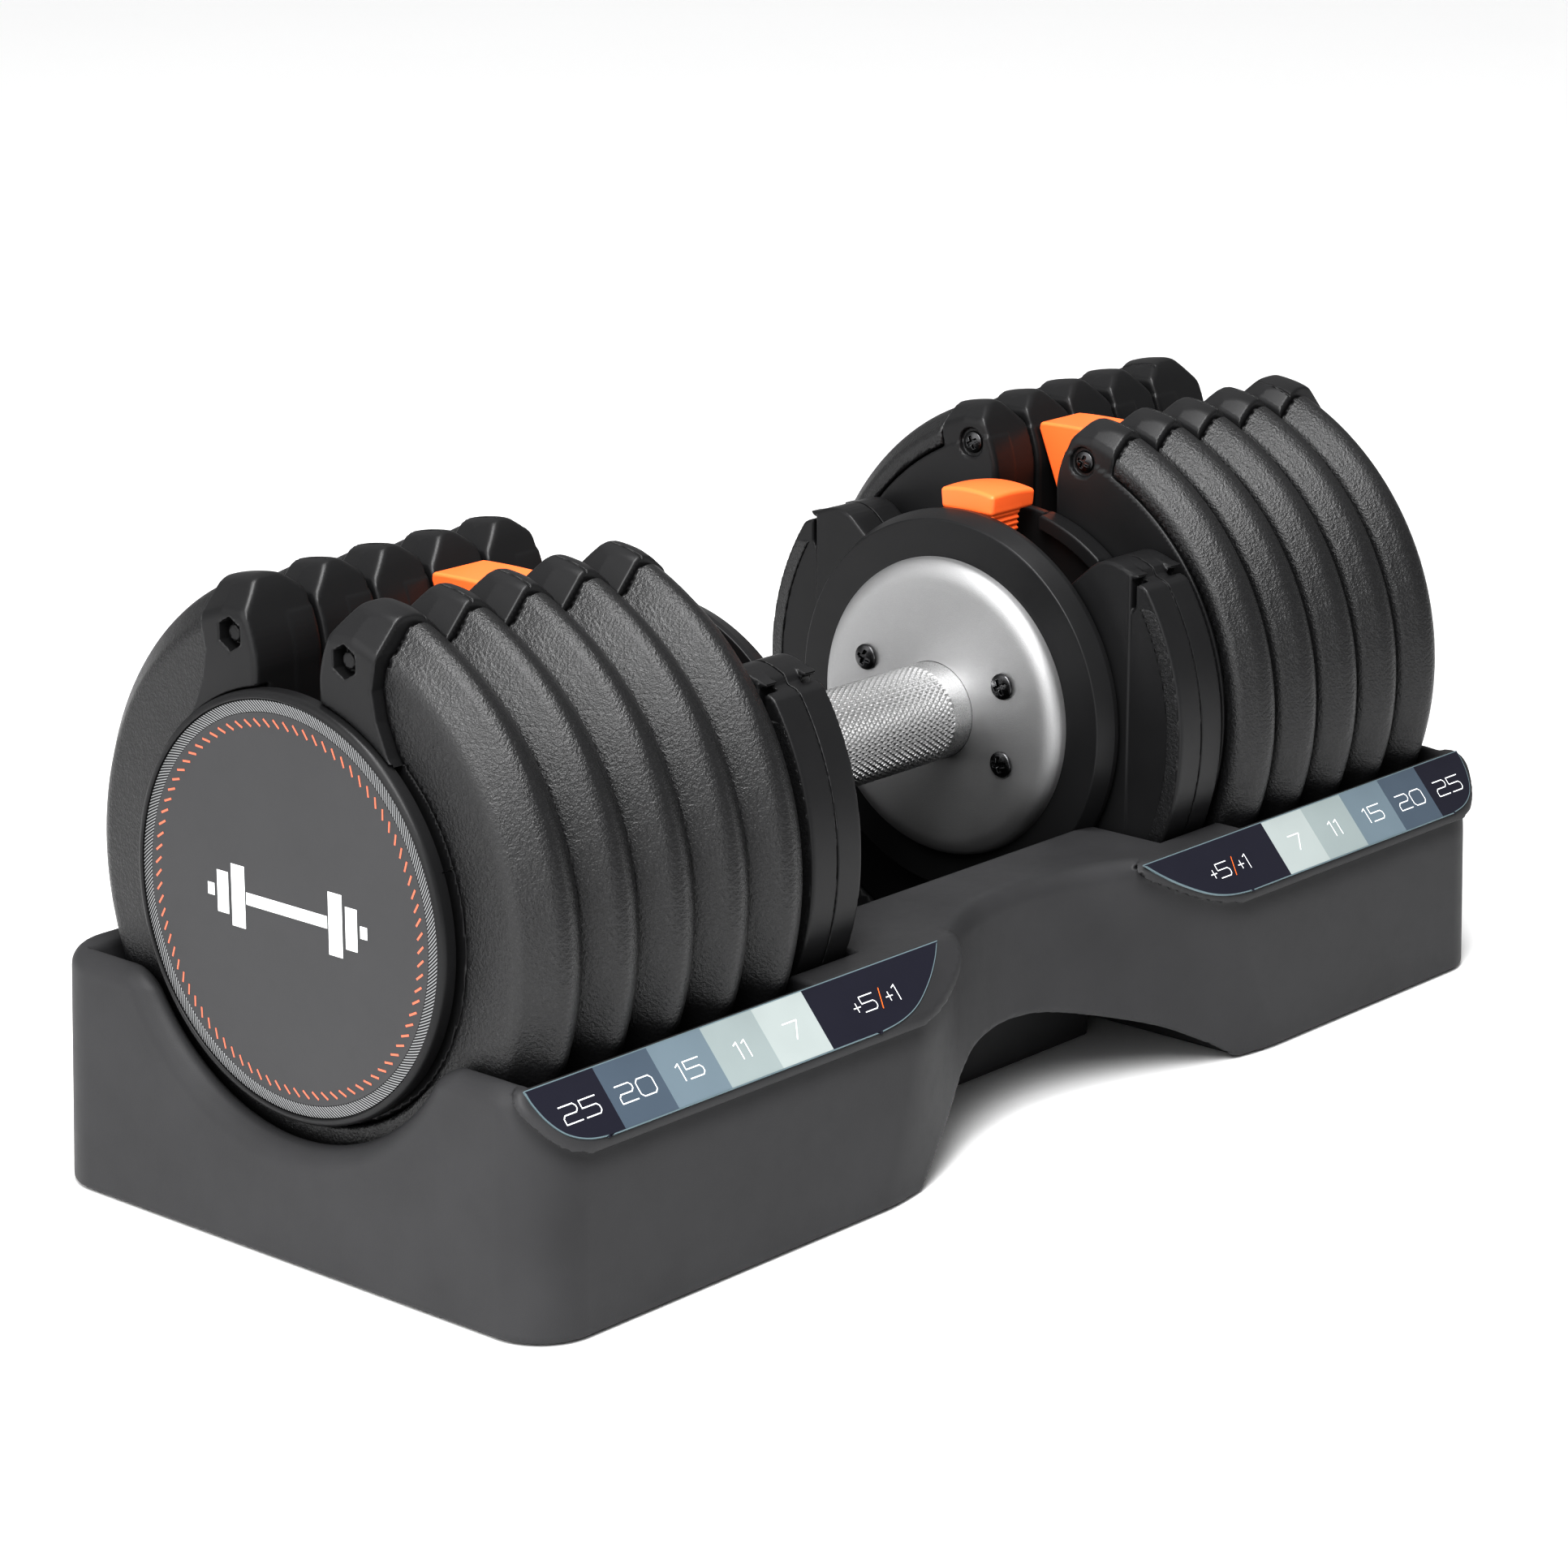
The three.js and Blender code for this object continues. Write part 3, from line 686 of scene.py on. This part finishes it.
def grip_shape():
    """The grip: a diamond knurl between two smooth collars, as a displaced tube."""
    around = round(2 * math.pi * GRIP_R / KNURL_PITCH)
    columns = around * cell_size(7)
    knurled = np.linspace(-GRIP_END + 6, GRIP_END - 6, cell_size(420))
    xs = np.concatenate([[-GRIP_END], knurled, [GRIP_END]])
    x, a = np.meshgrid(xs, np.arange(columns) * 2 * math.pi / columns, indexing="ij")
    lead, turn = x / KNURL_PITCH * 0.62, a * around / (2 * math.pi)
    height = np.minimum(ridge(lead + turn), ridge(lead - turn))
    fade = 1 - ramp(np.abs(x), GRIP_END - 8.6, GRIP_END - 7.8)
    r = GRIP_R - KNURL_DEPTH * fade * (1 - np.clip(height * 1.5, 0, 1)) - 0.05 * (1 - fade)
    vertices = np.stack([x, r * np.cos(a), AXIS + r * np.sin(a)], -1).reshape(-1, 3)
    i, j = np.meshgrid(np.arange(len(xs) - 1), np.arange(columns), indexing="ij")
    k = (j + 1) % columns
    quads = np.stack([i * columns + j, (i + 1) * columns + j, (i + 1) * columns + k, i * columns + k], -1)
    return vertices, quads.reshape(-1, 4)[:, ::-1], None


piece("grip", mesh_of("grip", grip_shape()), GRIP_STEEL, "handle", ["grip_tube"])
rim = smooth_path([(37, GRIP_END), (41.2, 55.6), (44, 56.9), (45.5, 58.8), (46, 61)], 5)
flange = lathe([(15.05, GRIP_END), *rim, (46, 61.2), (15.05, 61.2)])
both_ends("flange", flange, ALUMINIUM, "handle", ["grip_flange_{}"])
FLANGE_SCREWS = [(26.6, 12), (-26.6, 12), (26.6, -12), (-26.6, -12)]  # y and z from the axis
flange_screws = joined(
    [turn_x(screw_shape, t, (54.9, y, AXIS + z)) for (y, z), t in zip(FLANGE_SCREWS, SCREW_TURNS)]
)
both_ends("flange_screws", flange_screws, BLACK_STEEL, "handle")
hub = rounded([(12, 61.3), (57.4, 61.3, 0.7), (59.6, 67.2, 0.7), (59.6, 69.2, 0.5), (12, 69.2)])
both_ends("hub", lathe(hub), BLACK_PLASTIC, "handle", ["hub_disc_{}"])


def collar_field(x, y, z):
    """The disc behind an add-on plate, with a hood over each side of its knob."""
    rho = about_axis(y, z)
    disc = smax(rho - 57, between(x, 93.2, 96.8), 0.8)
    disc = np.maximum(disc, 17.5 - rho)
    hood = smax(between(rho, 52.6, 57.4), between(x, 89.6, 96.8), 0.7)
    hood = smax(hood, np.maximum(between(np.abs(y), 11.5, 35), 128 - z), 0.6)
    return smin(disc, hood, 0.8)


collar_grid = even(88.5, 98, 0.55), even(-58.5, 58.5, 1.1), even(AXIS - 58.5, AXIS + 58.5, 1.1)
collar = skin(collar_field, *collar_grid)
both_ends("rear_collar", collar, BLACK_PLASTIC, "handle", ["rear_disc_{}"])

# ---------------------------------------------------------------- end caps and badges
PRINT_X = CAP_X + 0.56  # where the badge's print lies
CAP_IN_X = 204.85  # the cap's inner face, just clear of the main knob at its limit
CAP_RIM_X = CAP_X + 1.1
cap = [(8, CAP_IN_X), (58.7, CAP_IN_X), (58.7, CAP_RIM_X, 1.9), (56.4, CAP_RIM_X, 0.5), (56.4, CAP_X), (8, CAP_X)]
both_ends("end_cover", lathe(rounded(cap)), BLACK_PLASTIC, "tray", ["end_cap_{}"])


def hatched():
    """Silver foil with a fine slanted hatch, drawn round the ring by angle and radius."""
    n = Nodes("hatched_foil")
    split = n.node("SeparateXYZ", {0: n.place})
    y, z = split.outputs["Y"], n.math("SUBTRACT", split.outputs["Z"], AXIS * MM)
    angle = n.math("ARCTAN2", z, y)
    radius = n.math("SQRT", n.math("ADD", n.math("MULTIPLY", y, y), n.math("MULTIPLY", z, z)))
    phase = n.math("ADD", n.math("MULTIPLY", angle, 330), n.math("MULTIPLY", radius, 6200))
    wave = n.math("SINE", phase)
    line = n.spread(wave, -0.35, 0.35, 0, 1)
    return n.set(
        Base_Color=n.blend(line, (0.02, 0.02, 0.021), (0.31, 0.314, 0.318)),
        Metallic=0.85,
        Roughness=n.spread(wave, -1, 1, 0.45, 0.3),
        Normal=n.bump(wave, 0.3, 0.0002),
    )


foil = [(52.9, CAP_X), (56.2, CAP_X), (56.2, CAP_X + 0.55, 0.2), (52.9, CAP_X + 0.55, 0.2)]
both_ends("foil_ring", lathe(rounded(foil)), hatched(), "tray", ["trim_ring_{}"])
badge = [(0.02, CAP_X), (52.85, CAP_X), (52.85, CAP_X + 0.5), (0.02, CAP_X + 0.5)]
both_ends("badge", lathe(badge, 160), BADGE, "tray", ["badge_face_{}"])


def flat_print(corners):
    """Flat quads on the badge, from a run of (y, z) corners, four to each."""
    c = np.array(corners, float)
    vertices = np.column_stack([np.full(len(c), PRINT_X), c])
    quads = np.arange(len(c)).reshape(-1, 4)
    a, b, d = vertices[quads[:, 0]], vertices[quads[:, 1]], vertices[quads[:, 3]]
    wrong = np.cross(b - a, d - a)[:, 0] < 0
    quads[wrong] = quads[wrong][:, ::-1]
    return vertices, quads, np.tile((1.0, 0, 0), (len(c), 1))


def tick_marks():
    """Slanted dashes round the badge's edge."""
    corners, lean, count, half_length, half_width = [], math.radians(47), 86, 1.5, 0.3
    for t in np.arange(count) * 2 * math.pi / count:
        out, on = np.array([math.cos(t), math.sin(t)]), np.array([-math.sin(t), math.cos(t)])
        along = out * math.cos(lean) - on * math.sin(lean)
        side = np.array([-along[1], along[0]]) * half_width
        middle = out * 50.1
        for end, edge in ((-1, -1), (-1, 1), (1, 1), (1, -1)):
            corners.append(middle + along * end * half_length + side * edge + (0, AXIS))
    return flat_print(corners)


def pictogram():
    """A plain dumbbell sign: a bar and two discs on each side."""
    blocks, corners = [(0, 15.5, 1.7)], []  # middle, half width, half height
    for y, half, tall in ((18.6, 2.6, 8.6), (24.6, 2.2, 5.8), (29.2, 1.3, 1.7)):
        blocks += [(y, half, tall), (-y, half, tall)]
    for y, half, tall in blocks:
        low, high = AXIS - tall, AXIS + tall
        corners += [(y - half, low), (y + half, low), (y + half, high), (y - half, high)]
    return flat_print(corners)


both_ends("badge_ticks", tick_marks(), INK["tick"], "tray")
both_ends("badge_sign", pictogram(), INK["white"], "tray")


# ---------------------------------------------------------------- add-on plates
EAR_TOP = [(36.5, 137.6), (39.6, 140.8), (42.8, 143.6), (47.7, 147.7), (52.6, 149.2), (57.4, 148.3)]
EAR_TOP = smooth_path([*EAR_TOP, (61.2, 146.6)], 3)
ADDON_FACE = [(-5, 0), (-5, 137), *EAR_TOP, (62.3, 144.4), (66, 143.3), (90, 142.5), (90, 0)]
HOOK_TIP = [(57, 148.4), (61, 147.2), (64.4, 146.4), (62.8, 145.3), (57, 144.6)]
HOOK_NOTCH = [(61.3, 134.5), (62.9, 137), (62.9, 146), (61.3, 146)]
OPENING = [(-5, 200), (36.5, 200), (36.8, 138), (30.5, 122), (15, 107), (15, 82), (-5, 82)]
ADDON_X = 81.9  # middle of an add-on plate
ADDON_R = 80.5


def addon_field(x, y, z):
    """The smooth moulding: a band with a seam, flat faces between two creases, and hooked ears."""
    rho, ay, ax = about_axis(y, z), np.abs(y), np.abs(x - ADDON_X)
    outline = smax(rho - ADDON_R, polygon(ADDON_FACE, ay, z), 1.2)
    band = smax(outline, ax - 10.3, 0.9)
    face = smax(smax(ax - 10.9, ay - 61.2, 0.5), outline, 0.9)
    whole = smin(band, face, 0.3)
    tip = smax(polygon(HOOK_TIP, ay, z), between(ax, 5.5, 10.5), 0.5)
    notch = np.maximum(polygon(HOOK_NOTCH, ay, z), 5.5 - ax)
    whole = smin(cut(whole, notch, 0.3), tip, 0.4)
    whole = np.maximum(whole, -np.maximum(ax - 0.25, -(outline + 0.6)))
    return cut(whole, polygon(OPENING, ay, z), 1.2)


def addon_iron_field(x, y, z):
    """The casting's textured border, which shows as a crescent beside each crease."""
    rho, ay, ax = about_axis(y, z), np.abs(y), np.abs(x - ADDON_X)
    ring = smax(between(rho, 75.3, 80.1), ax - 10.85 + 0.13 * (rho - 75.3), 0.5)
    return smax(ring, np.maximum(61.8 - ay, z - 137), 0.5)


cell = cell_size(1.15)
xs = steps((69.5, 0.8), (81.1, 0.26), (82.7, 0.8), (94.3, 1))
addon = skin(addon_field, xs, even(-83, 83, cell), even(14, 158, cell))
shells = ["addon_inner_shell_{}", "addon_outer_shell_{}"]
both_ends("addon_plate_moulding", addon, BLACK_PLASTIC, "tray", shells)
addon_iron = skin(addon_iron_field, even(69.8, 94, 0.55), even(-82.5, 82.5, 1.1), even(30, 140, 1.1))
both_ends("addon_plate_casting", addon_iron, CAST_IRON, "tray")


# ---------------------------------------------------------------- selector knobs
def main_knob_field(x, y, z):
    """A flared head on a ribbed stem."""
    u = x - KNOB_X
    flank = polygon([(13.7, 171.8), (13.2, 175), (-13.2, 175), (-13.7, 171.8), (-5.4, 151), (5.4, 151)], y, z)
    body = smax(smax(flank, z - 174.4 + 0.0025 * y * y, 1.0), np.abs(u) - 9.9, 1.0)
    stem = smax(np.abs(y) - 5, between(z, 118, 152), 0.5)
    ribs = 0.28 * np.cos(z * 2 * math.pi / 2.1)
    stem = smax(stem, np.abs(u) - 7.4 + ribs, 0.4)
    return smin(body, stem, 1.2)


def addon_knob_field(x, y, z):
    """A low crowned head, set outwards from its ribbed stem."""
    u = x - ADDON_KNOB_X
    crown = z - 163.8 + 0.011 * y * y + 0.006 * u * u
    walls = smax(np.abs(y) - 10.2 - 0.1 * (z - 160), np.abs(u - 3) - 10.2, 1.2)
    body = smax(smax(crown, 156.2 - z, 0.9), walls, 1.1)
    ribs = 0.22 * np.cos(z * 2 * math.pi / 1.7) * ramp(158 - z, 0, 3)
    stem = smax(np.abs(y) - 6.6 - 0.07 * (z - 119) + ribs, between(z, 118.8, 158), 0.5)
    stem = smax(stem, between(x, 70.6, 83.8) + ribs, 0.8)
    return smin(body, stem, 1.0)


cell = cell_size(0.42)
main_grid = even(KNOB_X - 11.5, KNOB_X + 11.5, cell), even(-16, 16, cell), even(116, 178, cell)
addon_grid = even(ADDON_KNOB_X - 9, ADDON_KNOB_X + 15, cell), even(-12.5, 12.5, cell), even(117, 164.5, cell)
for kind, field, grid in (("main", main_knob_field, main_grid), ("addon", addon_knob_field, addon_grid)):
    both_ends(
        f"{kind}_knob",
        skin(field, *grid, h=0.06),
        ORANGE_PLASTIC,
        f"{kind}_selector_{{}}",
        [f"{kind}_selector_knob_{{}}"],
    )

# ---------------------------------------------------------------- scale labels
OUTLINE = [(46.8, 0.9), (51.5, 5.8), (58, 11), (66.5, 16), (75, 18.6), (85, 19.6), (93, 19.6)]
OUTLINE += [(182, 19.6), (191, 19.4), (198, 18.2), (203.6, 15.2), (207.2, 10.4), (209, 4.8), (209.2, 0.9)]
OUTLINE = smooth_path(OUTLINE, 5)  # (x, distance down the slope)
CELL_EDGES = (104.2, 124.3, 144.4, 164.8, 184.8)  # x where one ink meets the next
CELL_INKS = ("navy", "pale", "grey", "steel", "slate", "navy")


def clipped(points, low, high):
    """The part of a closed outline between two values of its first coordinate."""
    for limit, sign in ((low, 1), (high, -1)):
        kept = []
        for a, b in zip(points, points[1:] + points[:1]):
            fa, fb = sign * (a[0] - limit), sign * (b[0] - limit)
            if fa >= 0:
                kept.append(a)
            if fa * fb < 0:
                t = fa / (fa - fb)
                kept.append((a[0] + (b[0] - a[0]) * t, a[1] + (b[1] - a[1]) * t))
        points = kept
    return points


def inset(points, d):
    """A closed outline moved inwards by d."""
    p = np.array(points)
    before, after = np.roll(p, 1, 0), np.roll(p, -1, 0)
    run = (after - before) / np.linalg.norm(after - before, axis=1, keepdims=True)
    area = np.sum(p[:, 0] * after[:, 1] - p[:, 1] * after[:, 0])
    normal = np.column_stack([-run[:, 1], run[:, 0]]) * np.sign(area)
    return [tuple(q) for q in p + normal * d]


def on_slope(along, down, out):
    """A point in metres, from x, distance down the label slope and height over it."""
    y, z = LABEL_TOP + LABEL_RUN * down + LABEL_OUT * out
    return along * MM, y * MM, z * MM


def slope_sheet(name, outlines, height, thick=0.0, flip=1):
    """Flat plates on the label slope from outlines of (x, distance down the slope)."""
    made = bmesh.new()
    for points in outlines:
        ring = [made.verts.new(on_slope(flip * a, b, height)) for a, b in points]
        face = made.faces.new(ring)
        face.normal_update()
        if face.normal.dot(Vector((0, *LABEL_OUT))) < 0:
            face.normal_flip()
        if thick:
            result = bmesh.ops.extrude_face_region(made, geom=[face])
            lower = [v for v in result["geom"] if isinstance(v, bmesh.types.BMVert)]
            bmesh.ops.translate(made, verts=ring, vec=Vector((0, *LABEL_OUT)) * -thick * MM)
    bmesh.ops.recalc_face_normals(made, faces=made.faces)
    bmesh.ops.triangulate(made, faces=made.faces)
    mesh = bpy.data.meshes.new(name)
    made.to_mesh(mesh)
    made.free()
    return mesh


STROKES = {  # strokes of each sign, in a cell of height 1
    "0": (
        [(0.18, 0), (0, 0.18), (0, 0.82), (0.18, 1), (1.02, 1), (1.2, 0.82), (1.2, 0.18), (1.02, 0), (0.18, 0)],
    ),
    "1": ([(0, 0.86), (0.26, 1), (0.26, 0)],),
    "2": ([(0, 1), (1, 1), (1.16, 0.84), (1.16, 0.66), (1, 0.5), (0.16, 0.5), (0, 0.34), (0, 0), (1.16, 0)],),
    "5": ([(1.16, 1), (0, 1), (0, 0.55), (1, 0.55), (1.16, 0.39), (1.16, 0.16), (1, 0), (0, 0)],),
    "7": ([(0, 1), (1.1, 1), (0.5, 0)],),
    "+": ([(0, 0.42), (0.56, 0.42)], [(0.28, 0.14), (0.28, 0.7)]),
    "/": ([(0, -0.12), (0.42, 1.12)],),
}
ADVANCE = {"0": 1.5, "1": 0.62, "2": 1.46, "5": 1.46, "7": 1.3, "+": 0.78, "/": 0.66}
STROKE_HALF = 0.036  # half a stroke's width
STROKE_OVER = STROKE_HALF * 0.8  # how far a stroke runs past its ends


def lettering(text, middle, down, size):
    """Outlines of stroke-built signs, centred at (middle, down) and reading along the handle."""
    width = sum(ADVANCE[sign] for sign in text) - 0.3
    pen, made = -width / 2, {"white": [], "orange": []}
    for sign in text:
        ink = "orange" if sign == "/" else "white"
        for stroke in STROKES[sign]:
            for (ax, az), (bx, bz) in zip(stroke, stroke[1:]):
                a, b = np.array([ax + pen, az]), np.array([bx + pen, bz])
                run = (b - a) / np.linalg.norm(b - a)
                side = np.array([-run[1], run[0]]) * STROKE_HALF
                a, b = a - run * STROKE_OVER, b + run * STROKE_OVER
                ring = (a - side, b - side, b + side, a + side)
                made[ink].append([(middle + p[0] * size, down - (p[1] - 0.5) * size) for p in ring])
        pen += ADVANCE[sign]
    return made


NUMBERS = (("+5/+1", 80.5), ("7", 114.3), ("11", 134.3), ("15", 154.6), ("20", 174.8), ("25", 195.4))
for side, flip in SIDES:
    name = f"label_border_{side}"
    border = slope_sheet(name, [OUTLINE], 0.35, 0.6, flip)
    piece(name, border, INK["edge"], "tray", [f"scale_label_{side}"])
    inner = inset(OUTLINE, 0.35)
    stops = (0, *CELL_EDGES, 300)
    for k, ink in enumerate(CELL_INKS):
        name = f"label_cell_{k + 1}_{side}"
        part = slope_sheet(name, [clipped(inner, stops[k], stops[k + 1])], 0.42, flip=flip)
        piece(name, part, INK[ink], "tray")
    signs = {"white": [], "orange": []}
    for text, x in NUMBERS:
        for ink, shapes in lettering(text, flip * x, 10.6, 4.6 if "+" in text else 5.0).items():
            signs[ink] += shapes
    for ink, kind in (("white", "numbers"), ("orange", "slash")):
        name = f"label_{kind}_{side}"
        piece(name, slope_sheet(name, signs[ink], 0.47), INK[ink], "tray")

# ---------------------------------------------------------------- CAD nodes that stay
KEPT = {
    "neck_rail": BLACK_PLASTIC,
    "main_lock_bar": BAR_STEEL,
    "addon_lock_yoke": BAR_STEEL,
    "addon_weight": CAST_IRON,
    "tray_foot": RUBBER,
}
for name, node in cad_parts.items():
    for stem, look in KEPT.items():
        if name.startswith(stem):
            node.data.materials.clear()
            node.data.materials.append(look)

# ---------------------------------------------------------------- floor, light and camera
floor_mesh = bpy.data.meshes.new("floor")
floor_mesh.from_pydata([(-6, -6, 0), (6, -6, 0), (6, 6, 0), (-6, 6, 0)], [], [(0, 1, 2, 3)])
floor = bpy.data.objects.new("floor", floor_mesh)
bpy.context.scene.collection.objects.link(floor)
n = Nodes("studio_floor")
pale = n.blend(n.noise(3, 2), (0.93, 0.93, 0.93), (0.95, 0.95, 0.95))
floor_mesh.materials.append(n.set(Base_Color=pale, Roughness=0.7))

world = bpy.data.worlds.new("studio")
world.use_nodes = True
sky = world.node_tree


def sky_node(kind, links, **values):
    made = sky.nodes.new("ShaderNode" + kind)
    for key, value in values.items():
        setattr(made, key, value)
    for key, value in links.items():
        if isinstance(value, bpy.types.NodeSocket):
            sky.links.new(value, made.inputs[key])
        else:
            made.inputs[key].default_value = value
    return made


def sky_ramp(value, low, high, to_low, to_high):
    """A smooth step from to_low to to_high as value runs from low to high."""
    links = {"Value": value, "From Min": low, "From Max": high, "To Min": to_low, "To Max": to_high}
    return sky_node("MapRange", links, interpolation_type="SMOOTHSTEP").outputs[0]


# A dim dome, brighter overhead, with a broad soft window low on the -X side.
toward = sky_node("TexCoord", {}).outputs["Generated"]
height = sky_node("SeparateXYZ", {0: toward}).outputs["Z"]
side_on = sky_node("VectorMath", {0: toward, 1: (-0.96, 0, 0.26)}, operation="DOT_PRODUCT").outputs["Value"]
dome = sky_ramp(height, 0.4, 0.85, 0.28, 0.55)
window = sky_ramp(side_on, 0.6, 0.95, 0, 2.1)
glow = sky_node("Math", {0: dome, 1: window}, operation="ADD")
sky.links.new(glow.outputs[0], sky.nodes["Background"].inputs["Strength"])
sky.nodes["Background"].inputs["Color"].default_value = (1, 1, 1, 1)
bpy.context.scene.world = world
bpy.context.scene.view_settings.view_transform = "Standard"
bpy.context.scene.view_settings.look = "High Contrast"


def softbox(name, at, size, watts):
    """A rectangular lamp at a point in metres, aimed at the middle of the object."""
    light = bpy.data.lights.new(name, "AREA")
    light.shape, light.size, light.size_y, light.energy = "RECTANGLE", size[0], size[1], watts
    lamp = bpy.data.objects.new(name, light)
    lamp.location = at
    lamp.rotation_euler = (Vector((0, 0, 0.1)) - Vector(at)).to_track_quat("-Z", "Y").to_euler()
    bpy.context.scene.collection.objects.link(lamp)


softbox("overhead", (-0.2, -0.15, 1.35), (0.42, 0.42), 9)
softbox("left_key", (-0.72, -0.56, 1.15), (0.5, 0.8), 13)

camera = bpy.data.objects.new("camera", bpy.data.cameras.new("camera"))
camera.data.lens = 107.4
camera.data.sensor_width = 36
yaw, pitch = math.radians(41.529), math.radians(-16.272)
look = Vector((math.cos(pitch) * math.cos(yaw), math.cos(pitch) * math.sin(yaw), math.sin(pitch)))
turn = look.to_track_quat("-Z", "Y").to_matrix().to_4x4()
camera.matrix_world = Matrix.Translation((-0.9939, -0.8687, 0.4717)) @ turn
bpy.context.scene.collection.objects.link(camera)
bpy.context.scene.camera = camera
